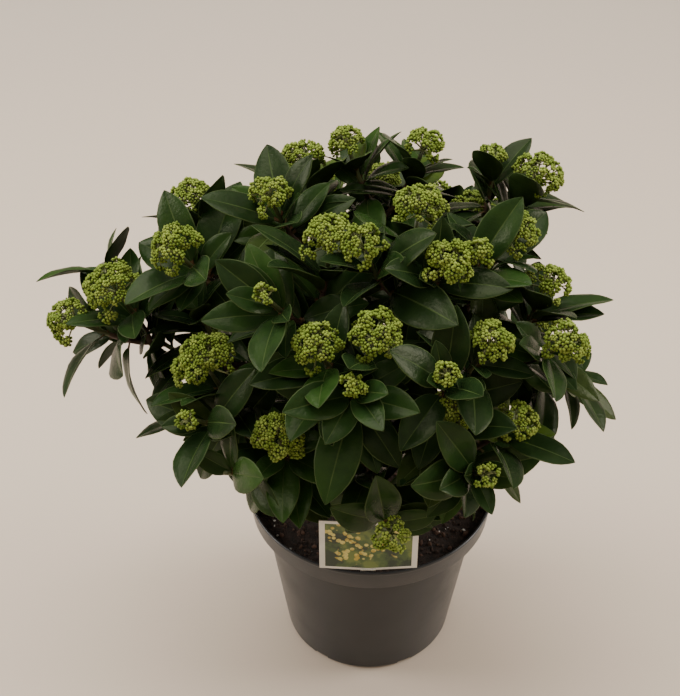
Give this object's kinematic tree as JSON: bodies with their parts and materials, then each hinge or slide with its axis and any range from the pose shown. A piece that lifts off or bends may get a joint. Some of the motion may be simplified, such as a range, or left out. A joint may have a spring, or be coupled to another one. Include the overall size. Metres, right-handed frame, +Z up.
{
  "type": "potted skimmia shrub",
  "caption": "Low evergreen shrub with whorls of leathery leaves and domed bud clusters, standing in a round nursery pot with a picture card on its rim.",
  "frame": {"origin": "centre of the pot's flat underside, on the floor it stands on", "axes": "+Z up, -Y towards the front, where the picture card stands, +X to the right as seen from the front"},
  "size_m": [0.4924, 0.4017, 0.5143],
  "materials": {
    "pot": "moulded matte, warm dark grey",
    "soil": "moist peat compost with white grains",
    "card": "coated card",
    "bark": "thin grey-brown bark",
    "foliage": "glossy leathery leaf"
  },
  "bodies": {
    "root": {"pot": "pot", "soil": "soil", "picture_card": "card", "trunk": "bark", "limb_front_right": "bark", "limb_back_left": "bark", "limb_left": "bark", "limb_right": "bark", "limb_back_right": "bark", "limb_front_left": "bark", "bough_far_left": "bark", "bough_left_high": "bark", "bough_left_low": "bark", "bough_top_left": "bark", "bough_top": "bark", "bough_upper_left": "bark", "bough_upper_right": "bark", "bough_top_right": "bark", "bough_right_high": "bark", "bough_right": "bark", "bough_centre_right": "bark", "bough_right_low": "bark", "bough_centre": "bark", "bough_front_left": "bark", "bough_front": "bark", "bough_back": "bark", "bough_back_left": "bark", "bough_back_right": "bark", "bough_left_middle": "bark", "bough_side_left": "bark", "bough_side_right": "bark", "bough_back_low": "bark", "bough_back_side": "bark", "foliage_far_left": "foliage", "foliage_left_high": "foliage", "foliage_left_low": "foliage", "foliage_top_left": "foliage", "foliage_top": "foliage", "foliage_upper_left": "foliage", "foliage_upper_right": "foliage", "foliage_top_right": "foliage", "foliage_right_high": "foliage", "foliage_right": "foliage", "foliage_centre_right": "foliage", "foliage_right_low": "foliage", "foliage_centre": "foliage", "foliage_front_left": "foliage", "foliage_front": "foliage", "foliage_back": "foliage", "foliage_back_left": "foliage", "foliage_back_right": "foliage", "foliage_left_middle": "foliage", "foliage_side_left": "foliage", "foliage_side_right": "foliage", "foliage_back_low": "foliage", "foliage_back_side": "foliage"}
  },
  "joints": []
}
